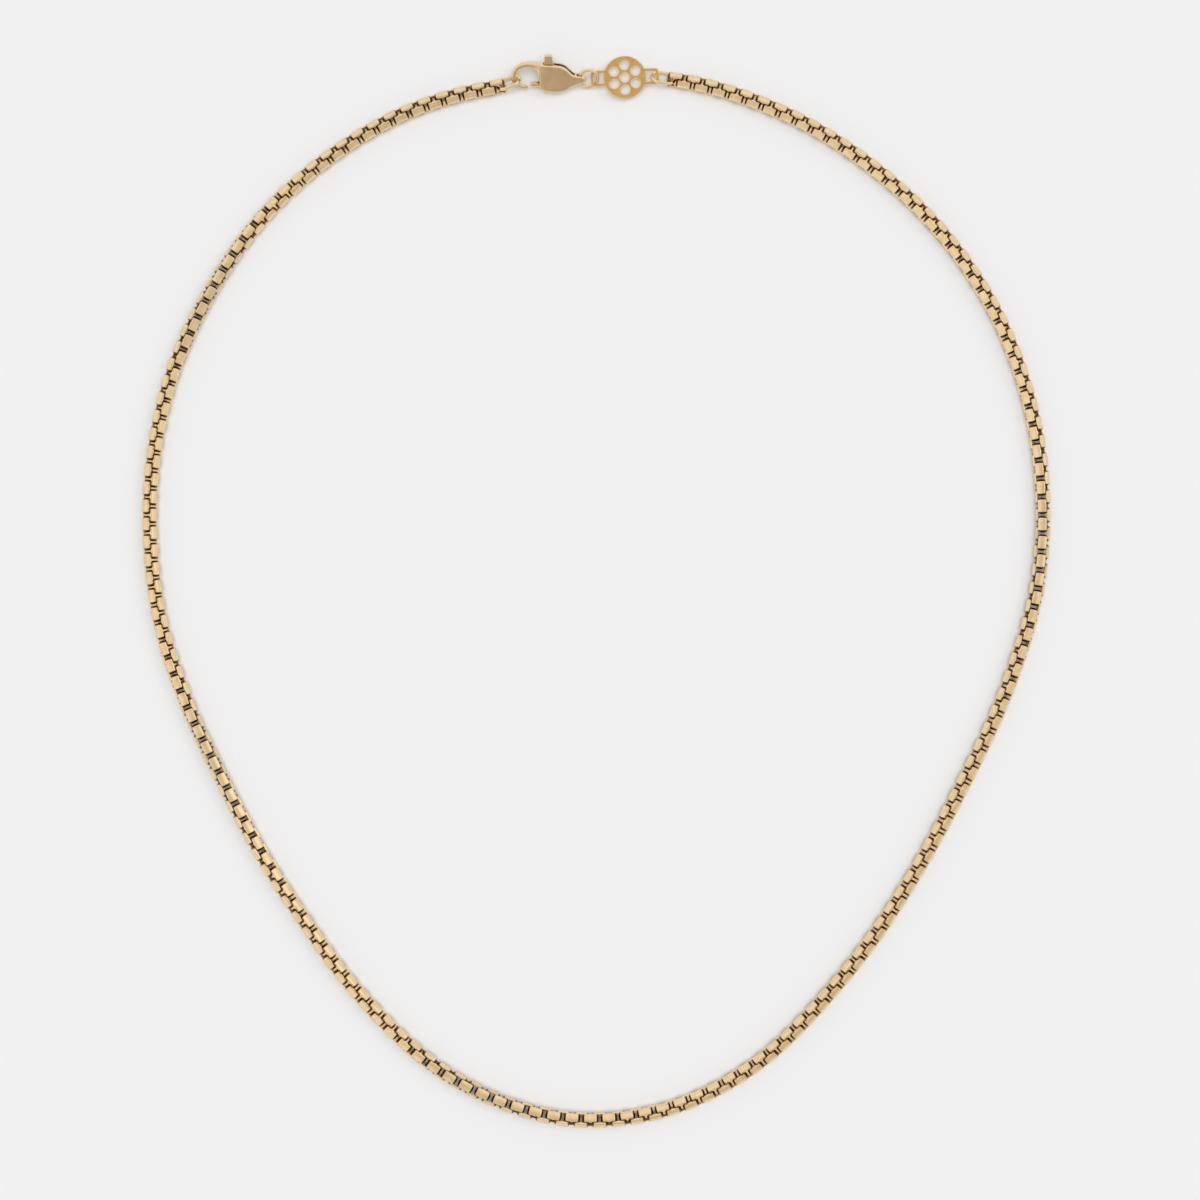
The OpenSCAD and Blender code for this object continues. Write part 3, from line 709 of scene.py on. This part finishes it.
def ring_mesh(name, start, end, outer_l, outer_w, wire, tilt):
    """Wire ring between two joints: path point + wire / 2 * (normal cos b + up sin b), b round the wire."""
    straight, bend = (outer_l - outer_w) / 2, (outer_w - wire) / 2
    a = np.linspace(-np.pi / 2, np.pi / 2, BEND_POINTS)
    a = a if straight > 0 else a[:-1]
    right = np.stack([straight + bend * np.cos(a), bend * np.sin(a)], -1)
    path = np.concatenate([right, -right])
    outward = np.stack([np.cos(a), np.sin(a)], -1)
    normal = np.concatenate([outward, -outward])
    b = np.linspace(0, 2 * np.pi, WIRE_POINTS, endpoint=False)
    flat_xy = path[:, None, :] + wire / 2 * np.cos(b)[None, :, None] * normal[:, None, :]
    height = np.broadcast_to(wire / 2 * np.sin(b), flat_xy.shape[:2])
    points = np.concatenate([flat_xy, height[..., None]], -1).reshape(-1, 3)
    span = end - start
    rise = np.degrees(np.arcsin(span[2] / np.linalg.norm(span)))
    turn = np.degrees(np.arctan2(span[1], span[0]))
    points = points @ turn_matrix(x=tilt, y=-rise, z=turn).T + (start + end) / 2
    mesh = mesh_from(name, points * MM, [grid_quads(len(path), len(b), close_rows=True)])
    face_outwards(mesh)
    return mesh


OVAL, ROUND = (OVAL_L, OVAL_W, OVAL_WIRE), (ROUND_D, ROUND_D, ROUND_WIRE)
for name, start, end, shape, tilt, node in (
        ("oval_ring_left", left_far, left_near, OVAL, LEFT_RING_TILT, "end_ring_left"),
        ("oval_ring_right", right_near, right_far, OVAL, RIGHT_RING_TILT, "end_ring_right"),
        ("round_ring", jump_near, jump_far, ROUND, ROUND_RING_TILT, "jump_ring")):
    add_piece(name, ring_mesh(name, start, end, *shape, tilt), ring_gold, "root", "ring_gold", node)

# %% [markdown]
# ## Flat plates with rounded edges
#
# The charm and the clasp's lever are both cut from sheet and tumbled, which rounds
# their edges. A plate is described by closed outlines. Each outline becomes a rim:
# rows of points that go round a quarter circle at the top edge, down the wall and
# round another quarter at the bottom. The two flat faces fill the rims' ends.

# %% Plate tools
def arc(cx, cy, r, start, end, count):
    """Points on an arc from one angle to another, in degrees."""
    a = np.radians(np.linspace(start, end, count))
    return np.stack([cx + r * np.cos(a), cy + r * np.sin(a)], -1)


def outline_normals(points, hole):
    """Unit normals that point out of the metal: the run between neighbours, turned a quarter."""
    run = np.roll(points, -1, 0) - np.roll(points, 1, 0)
    normal = np.stack([run[:, 1], -run[:, 0]], -1)
    normal /= np.linalg.norm(normal, axis=1, keepdims=True)
    nxt = np.roll(points, -1, 0)
    area = (points[:, 0] * nxt[:, 1] - nxt[:, 0] * points[:, 1]).sum()
    return normal * np.sign(area) * (-1.0 if hole else 1.0)


def plate_points(outlines, thickness, edge, steps=3):
    """Rim rows for each outline: inset = edge (1 - cos a), height = thickness / 2 - edge (1 - sin a)."""
    a = np.radians(np.linspace(90, 0, steps))
    inset = edge * (1 - np.cos(a))
    height = thickness / 2 - edge * (1 - np.sin(a))
    inset = np.concatenate([inset, inset[::-1]])
    height = np.concatenate([height, -height[::-1]])
    rims = []
    for number, points in enumerate(outlines):
        normal = outline_normals(points, hole=number > 0)
        rim_xy = points[None] - inset[:, None, None] * normal[None]
        rim_z = np.broadcast_to(height[:, None, None], (*rim_xy.shape[:2], 1))
        rims.append(np.concatenate([rim_xy, rim_z], -1))
    return rims


def plate_mesh(name, rims, carry):
    """Closed mesh of a plate: the rims, and a flat fill at their first and last rows."""
    points, quads, base, caps = [], [], 0, [[], []]
    for rim in rims:
        rows, cols = rim.shape[:2]
        points.append(rim.reshape(-1, 3))
        quads.append(grid_quads(rows, cols, close_rows=False) + base)
        caps[0].append(base + np.arange(cols))
        caps[1].append(base + (rows - 1) * cols + np.arange(cols))
        base += rows * cols
    mesh = mesh_from(name, carry(np.concatenate(points)) * MM, [np.concatenate(quads)])
    work = bmesh.new()
    work.from_mesh(mesh)
    work.verts.ensure_lookup_table()
    for cap in caps:
        border = [work.edges.get((work.verts[int(i)], work.verts[int(j)]))
                  for loop in cap for i, j in zip(loop, np.roll(loop, -1))]
        for edge_line in border:
            edge_line.smooth = False
        bmesh.ops.triangle_fill(work, use_beauty=True, use_dissolve=False, edges=border)
    for face in work.faces:
        face.smooth = True
    bmesh.ops.recalc_face_normals(work, faces=work.faces)
    work.to_mesh(mesh)
    work.free()
    return mesh

# %% [markdown]
# ## The charm
#
# The charm is a disc 7 mm across with a loop on each side that the rings pass
# through. Its piercing is plain: one round hole with six round it. The outline runs
# round the disc and out along each loop.

# %% Charm
LOOP_CORNER, LOOP_INNER_CORNER = 0.5, 0.32
CHARM_RIM, CHARM_HOLE_R, CHARM_WEB, CHARM_EDGE = 0.6, 0.85, 0.35, 0.05


def charm_outlines():
    """Outer outline, then two loop openings and seven holes, in mm."""
    r, hw, end, corner = CHARM_D / 2, LOOP_W / 2, CHARM_D / 2 + LOOP_OUT, LOOP_CORNER
    root = np.degrees(np.arcsin(hw / r))
    loop = np.concatenate([
        arc(end - corner, -hw + corner, corner, -90, 0, 9), arc(end - corner, hw - corner, corner, 0, 90, 9),
    ])
    outer = np.concatenate([
        arc(0, 0, r, root, 180 - root, 60), -loop, arc(0, 0, r, 180 + root, 360 - root, 60), loop,
    ])
    iw, inner_end, ic = hw - LOOP_BAR, end - LOOP_BAR, LOOP_INNER_CORNER
    lip = np.degrees(np.arcsin(iw / r))
    opening = np.concatenate([
        arc(0, 0, r, lip, -lip, 14),
        arc(inner_end - ic, -iw + ic, ic, -90, 0, 7),
        arc(inner_end - ic, iw - ic, ic, 0, 90, 7),
    ])
    ring_r = r - CHARM_RIM - CHARM_HOLE_R
    holes = [arc(0, 0, ring_r - CHARM_WEB - CHARM_HOLE_R, 0, 360, 41)[:-1]]
    holes += [arc(*(ring_r * heading(90 + 60 * k)), CHARM_HOLE_R, 0, 360, 41)[:-1] for k in range(6)]
    return [outer, opening, -opening, *holes]


def on_charm(points):
    """Carry the charm's own points to its place."""
    return points @ turn_matrix(z=CHARM_TURN).T + charm_at


charm = plate_mesh("pierced_charm", plate_points(charm_outlines(), CHARM_T, CHARM_EDGE), on_charm)
add_piece("pierced_charm", charm, charm_gold, "root", "charm_gold", "charm")

# %% [markdown]
# ## The clasp's body
#
# The body is a casting: a hook that runs into two side walls and ends in an eye.
# Its outline and thickness are read off at 27 sections from the hook's tip round to
# the tail. Each section is a rectangle with rounded corners, and a smooth curve
# through the sections gives the skin. Then the slot for the lever, the eye and the
# bore of the pin are cut out of it, as a jeweller would mill them.

# %% Clasp sections
CLASP_SECTIONS = np.array([
    [-0.222, -0.324, -0.242, -0.224, 0.34],
    [-0.282, -0.332, -0.282, -0.220, 0.36],
    [-0.339, -0.290, -0.327, -0.190, 0.38],
    [-0.399, -0.210, -0.359, -0.110, 0.40],
    [-0.437, -0.100, -0.382, -0.030, 0.42],
    [-0.452, 0.040, -0.389, 0.070, 0.44],
    [-0.437, 0.240, -0.377, 0.190, 0.44],
    [-0.403, 0.390, -0.353, 0.290, 0.46],
    [-0.347, 0.492, -0.310, 0.364, 0.48],
    [-0.274, 0.548, -0.258, 0.404, 0.52],
    [-0.202, 0.570, -0.198, 0.404, 0.60],
    [-0.141, 0.560, -0.141, 0.360, 0.70],
    [-0.101, 0.548, -0.103, 0.260, 0.82],
    [-0.077, 0.540, -0.083, 0.100, 0.90],
    [-0.060, 0.532, -0.075, -0.080, 0.94],
    [-0.040, 0.524, -0.066, -0.230, 0.97],
    [0.000, 0.516, -0.024, -0.330, 1.00],
    [0.065, 0.506, 0.048, -0.390, 1.00],
    [0.145, 0.490, 0.145, -0.410, 1.00],
    [0.218, 0.460, 0.226, -0.390, 0.99],
    [0.274, 0.396, 0.286, -0.330, 0.95],
    [0.323, 0.284, 0.339, -0.250, 0.88],
    [0.371, 0.174, 0.387, -0.204, 0.80],
    [0.427, 0.128, 0.435, -0.164, 0.76],
    [0.492, 0.110, 0.492, -0.120, 0.72],
    [0.532, 0.076, 0.532, -0.086, 0.60],
    [0.548, 0.030, 0.548, -0.040, 0.44],
])


def clasp_skin(steps, corner_steps):
    """Rows of points round each section: a rectangle with corners of the edge radius.

    A corner point lies at (half size - r) + r (cos a, sin a), in the plane of the
    section, whose one axis runs from its inner to its outer edge and whose other
    axis is the clasp's thickness.
    """
    table = CLASP_SECTIONS
    padded = np.concatenate([[2 * table[0] - table[1]], table, [2 * table[-1] - table[-2]]])
    rows = smooth_curve(padded, steps)
    scale = np.array([CLASP_L, CLASP_H])
    outer, inner = rows[:, 0:2] * scale, rows[:, 2:4] * scale
    half_t = rows[:, 4] * CLASP_T / 2
    across = outer - inner
    half_w = np.linalg.norm(across, axis=1) / 2
    u = across / (2 * half_w[:, None])
    mid = (outer + inner) / 2
    r = np.minimum(np.minimum(CLASP_EDGE, 0.9 * half_w), 0.9 * half_t)
    quarter = 90 * np.arange(corner_steps + 1) / corner_steps
    a = np.radians((90 * np.arange(4)[:, None] + quarter[None, :]).ravel())
    su = np.repeat([1, -1, -1, 1], corner_steps + 1)
    sz = np.repeat([1, 1, -1, -1], corner_steps + 1)
    w = su[None] * (half_w - r)[:, None] + r[:, None] * np.cos(a)[None]
    z = sz[None] * (half_t - r)[:, None] + r[:, None] * np.sin(a)[None]
    return np.concatenate([mid[:, None, :] + w[..., None] * u[:, None, :], z[..., None]], -1)


def domed(rows, depth):
    """Skin whose first row becomes a dome: at depth (1 - cos a) the section has the size sin a."""
    a = np.radians([10.0, 32.0, 54.0, 74.0])
    gap = np.linalg.norm(rows[1].mean(0) - rows[0].mean(0))
    share = (depth * (1 - np.cos(a)) / gap)[:, None, None]
    base = rows[0] * (1 - share) + rows[1] * share
    middle = base.mean(1, keepdims=True)
    return np.concatenate([middle + (base - middle) * np.sin(a)[:, None, None], rows[1:]])


def closed_loft(name, skin):
    """Mesh of a skin of rows, with a flat end on the first and last row."""
    rows, cols = skin.shape[:2]
    caps = np.stack([np.arange(cols), (rows - 1) * cols + np.arange(cols)])
    quads = grid_quads(rows, cols, close_rows=False)
    mesh = mesh_from(name, on_clasp(skin.reshape(-1, 3)) * MM, [quads, caps])
    face_outwards(mesh)
    return mesh


def prism(name, outline, low, high, stand):
    """A cutter: an outline drawn out from `low` to `high`; `stand` puts its points in the clasp's frame."""
    rows = np.stack([np.concatenate([outline, np.full((len(outline), 1), h)], 1) for h in (low, high)])
    skin = stand(rows.reshape(-1, 3)).reshape(rows.shape)
    piece = bpy.data.objects.new(name, closed_loft(name, skin))
    scene.collection.objects.link(piece)
    return piece


TIP_DOME, TAIL_DOME = 0.17, 0.04
skin = domed(clasp_skin(steps=4, corner_steps=5), TIP_DOME)
skin = domed(skin[::-1], TAIL_DOME)[::-1]
body_mesh = closed_loft("clasp_shell", skin)
print("clasp skin:", len(body_mesh.vertices), "points")

# %% [markdown]
# The slot is open at the mouth, where the gate arm comes out, and along the back
# from the thumb tab to the tail. The lever's plate runs in it with 0.08 mm to spare
# on each side.

# %% Cut the slot, the eye and the pin's bore
LEVER_T, LEVER_GAP, LEVER_EDGE, HUB_R = 0.95, 0.08, 0.12, 0.65
TAB_X, TAB_W, TAB_H = 0.052 * CLASP_L, 1.6, 1.5
GATE_Y, GATE_D, GATE_REACH, GATE_ROOT, GATE_TIP_R = -0.19 * CLASP_H, 0.9, 3.3, 0.45, 0.2
PIN_D, PIN_L, PIN_GAP, PIN_PLAY = 0.7, 2.0, 0.02, 0.05
floor_y = PIVOT[1] - HUB_R - LEVER_GAP
slot_left = TAB_X - TAB_W / 2 - 2 * LEVER_GAP
groove_end = EYE_X - EYE_L / 2 - 0.3
slot_outline = np.array([
    [-0.121 * CLASP_L, floor_y], [-0.121 * CLASP_L, 0.2 * CLASP_H], [slot_left, 0.32 * CLASP_H],
    [slot_left, CLASP_H], [groove_end, CLASP_H], [groove_end, 0.03 * CLASP_H],
    [0.29 * CLASP_L, -0.18 * CLASP_H], [0.177 * CLASP_L, floor_y],
])
eye_h, eye_c = 2 * ROUND_WIRE, 0.2
eye_outline = np.concatenate([
    arc(sx * (EYE_L / 2 - eye_c), sy * (eye_h / 2 - eye_c), eye_c, start, start + 90, 6)
    for sx, sy, start in ((1, 1, 0), (-1, 1, 90), (-1, -1, 180), (1, -1, 270))
])


def eye_stand(points):
    """Stand the eye's outline up so that it runs along the clasp's height."""
    return np.stack([points[:, 0] + EYE_X, -points[:, 2], points[:, 1]], -1)


def pin_stand(points):
    """Move an outline to the pivot."""
    return points + np.array([*PIVOT, 0.0])


half_slot = LEVER_T / 2 + LEVER_GAP
bore_outline = arc(0, 0, PIN_D / 2 + PIN_GAP, 0, 360, 33)[:-1]
cutters = [
    prism("slot_cutter", slot_outline, -half_slot, half_slot, lambda points: points),
    prism("eye_cutter", eye_outline, -CLASP_H / 2, CLASP_H / 2, eye_stand),
    prism("pin_cutter", bore_outline, -PIN_L / 2 - PIN_GAP, PIN_L / 2 + PIN_GAP, pin_stand),
]
shell = bpy.data.objects.new("clasp_shell", body_mesh)
scene.collection.objects.link(shell)
for cutter in cutters:
    cut = shell.modifiers.new(cutter.name, "BOOLEAN")
    cut.operation = "DIFFERENCE"
    cut.solver = "EXACT"
    cut.object = cutter
bpy.context.view_layer.update()
shell_eval = shell.evaluated_get(bpy.context.evaluated_depsgraph_get())
clasp_mesh = bpy.data.meshes.new_from_object(shell_eval)
clasp_mesh.name = "clasp_casting"
for helper in (shell, *cutters):
    bpy.data.objects.remove(helper)
clasp_mesh.shade_smooth()
clasp_mesh.set_sharp_from_angle(angle=float(np.radians(34.0)))
add_piece("clasp_casting", clasp_mesh, clasp_gold, "root", "clasp_gold", "clasp_body")

# %% [markdown]
# ## The lever
#
# The lever is a plate with a thumb tab on top, a hub round the pin, and a round
# gate arm that closes the hook's mouth. The arm is a surface of revolution: its
# profile is a straight side with a rounded end. The lever is the only piece that
# moves by itself, so it rides its own body.

# %% Lever
def rounded(points, radii, count=6):
    """Outline with its corners replaced by arcs that touch both sides.

    For a corner with half angle h, the arc of radius r starts r / tan(h) from it,
    and its centre lies r / sin(h) along the bisector.
    """
    points = np.asarray(points, float)
    to_prev, to_next = np.roll(points, 1, 0) - points, np.roll(points, -1, 0) - points
    to_prev /= np.linalg.norm(to_prev, axis=1, keepdims=True)
    to_next /= np.linalg.norm(to_next, axis=1, keepdims=True)
    half_angle = np.arccos(np.clip((to_prev * to_next).sum(1), -1, 1)) / 2
    radii = np.asarray(radii, float)
    bisector = to_prev + to_next
    bisector /= np.linalg.norm(bisector, axis=1, keepdims=True)
    centre = points + bisector * (radii / np.sin(half_angle))[:, None]
    begin = points + to_prev * (radii / np.tan(half_angle))[:, None] - centre
    finish = points + to_next * (radii / np.tan(half_angle))[:, None] - centre
    share = np.linspace(0, 1, count)[None, :, None]
    swing = begin[:, None, :] * (1 - share) + finish[:, None, :] * share
    swing *= radii[:, None, None] / np.linalg.norm(swing, axis=2, keepdims=True)
    return (centre[:, None, :] + swing).reshape(-1, 2)


tab_top = BACK_Y + TAB_H
lever_outline = rounded(
    [[TAB_X - TAB_W / 2, 0.0], [TAB_X - TAB_W / 2, tab_top], [TAB_X + TAB_W / 2 - 0.25, tab_top],
     [TAB_X + TAB_W / 2, BACK_Y], [PIVOT[0] + HUB_R, PIVOT[1] - 0.4], [PIVOT[0] + 0.2, PIVOT[1] - HUB_R],
     [PIVOT[0] - 0.2, PIVOT[1] - HUB_R], [PIVOT[0] - HUB_R, PIVOT[1] - 0.4]],
    [0.1, 0.28, 0.26, 0.3, 0.2, 0.1, 0.1, 0.2],
)
pin_bore = arc(*PIVOT, PIN_D / 2 + PIN_PLAY, 0, 360, 33)[:-1]
lever_mesh = plate_mesh("lever", plate_points([lever_outline, pin_bore], LEVER_T, LEVER_EDGE), on_clasp)


def gate_arm_skin(sides=28):
    """Surface of revolution along -x: radius and place of the profile, then a turn round the arm's line."""
    r, tip_r = GATE_D / 2, GATE_TIP_R
    a = np.radians(np.linspace(0, 90, 7))
    place_of = np.concatenate([[GATE_ROOT], GATE_REACH - tip_r + tip_r * np.sin(a), [GATE_REACH]])
    radius = np.concatenate([[r], r - tip_r + tip_r * np.cos(a), [0.02]])
    b = np.linspace(0, 2 * np.pi, sides, endpoint=False)
    x = np.broadcast_to(PIVOT[0] - place_of[:, None], (len(place_of), sides))
    return np.stack([x, GATE_Y + radius[:, None] * np.cos(b), radius[:, None] * np.sin(b)], -1)


arm_mesh = closed_loft("gate_arm", gate_arm_skin())
work = bmesh.new()
work.from_mesh(lever_mesh)
work.from_mesh(arm_mesh)
work.to_mesh(lever_mesh)
work.free()
add_piece("spring_lever", lever_mesh, clasp_gold, "lever", "clasp_gold", "clasp_lever")

# %% [markdown]
# The pivot pin is hidden in its blind bore. Its CAD cylinder is already right, so
# it only gets the clasp's metal.

# %% Pin
pin_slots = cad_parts["pivot_pin"].data.materials
pin_slots.clear()
pin_slots.append(clasp_gold)
print("pivot pin:", len(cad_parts["pivot_pin"].data.polygons), "faces, material", clasp_gold.name)
